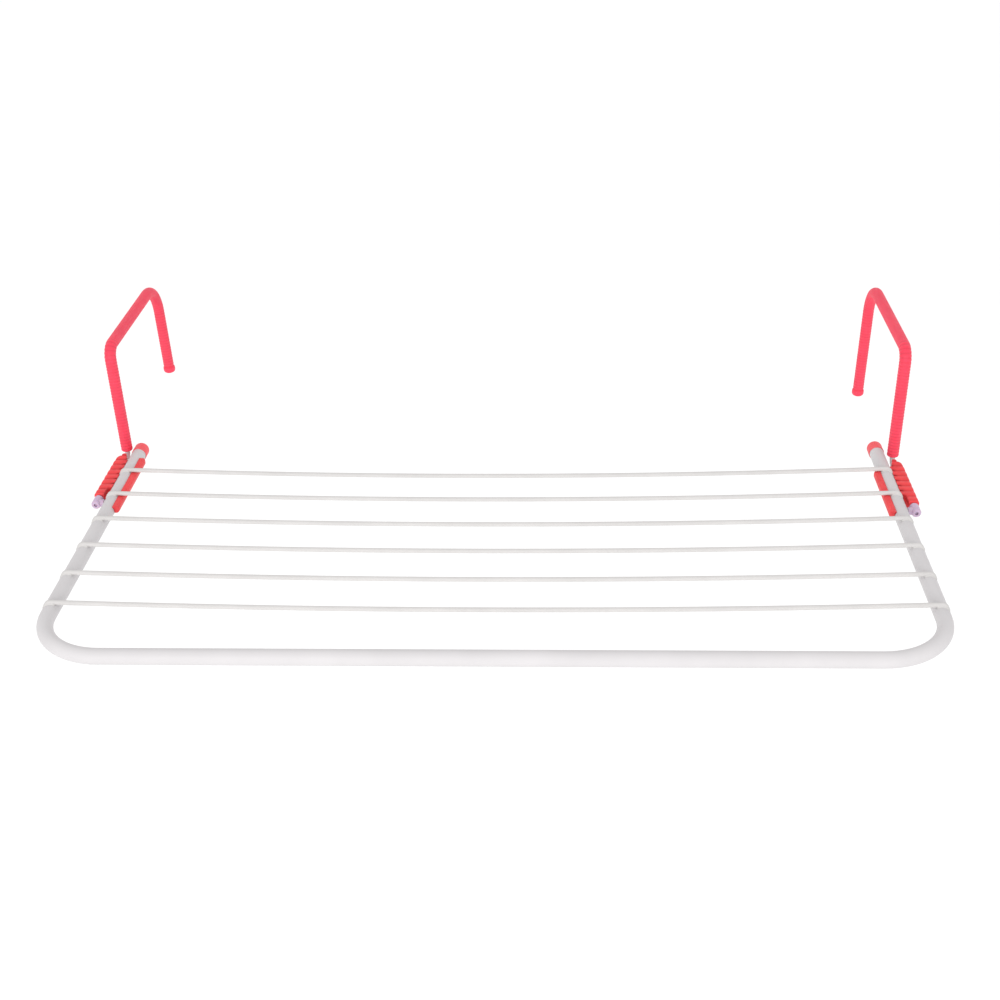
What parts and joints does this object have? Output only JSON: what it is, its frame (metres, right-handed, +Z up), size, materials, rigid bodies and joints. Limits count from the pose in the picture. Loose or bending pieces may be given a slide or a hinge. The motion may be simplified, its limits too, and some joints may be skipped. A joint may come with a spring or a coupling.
{
  "type": "over-rail drying rack",
  "caption": "Bent tube drying rack with sagging cross wires that hangs over a rail by two sleeved hooks and folds down on its hook pins.",
  "frame": {"origin": "on the rail: X at the rack's mid width, Y at the rear faces of the end caps, which is the rail's front face, and Z at the underside of the hook bars, which is the rail's top", "axes": "+X to the right seen from the front, +Y towards and over the rail, +Z up; the frame stands out towards -Y"},
  "size_m": [1.037, 0.7435, 0.1866],
  "materials": {
    "white_enamel": "semi-gloss white powder coat",
    "wire_enamel": "semi-gloss white powder coat, pooled at the welds",
    "hook_rod": "semi-gloss white powder coat",
    "sleeve": "soft coral vinyl with fine ribs",
    "clip": "satin moulded brick red",
    "end_cap": "satin moulded brick red",
    "nylon": "natural white nylon"
  },
  "bodies": {
    "frame": {"frame_tube": "white_enamel", "drying_wire_1": "wire_enamel", "drying_wire_2": "wire_enamel", "drying_wire_3": "wire_enamel", "drying_wire_4": "wire_enamel", "drying_wire_5": "wire_enamel", "drying_wire_6": "wire_enamel", "left_end_cap": "end_cap", "right_end_cap": "end_cap", "left_clip": "clip", "right_clip": "clip"},
    "left_hook": {"left_hook_wire": "hook_rod", "left_hook_sleeve": "sleeve", "left_tip_cap": "sleeve", "left_pivot_knuckle": "nylon"},
    "right_hook": {"right_hook_wire": "hook_rod", "right_hook_sleeve": "sleeve", "right_tip_cap": "sleeve", "right_pivot_knuckle": "nylon"}
  },
  "joints": [
    {"name": "left_hook_pivot", "type": "hinge", "parent": "frame", "child": "left_hook", "pos_m": [-0.491, -0.1535, -0.1454], "axis": [-1, 0, 0], "range_deg": [0, 90]},
    {"name": "right_hook_pivot", "type": "hinge", "parent": "frame", "child": "right_hook", "pos_m": [0.491, -0.1745, -0.1454], "axis": [-1, 0, 0], "range_deg": [0, 90]}
  ]
}
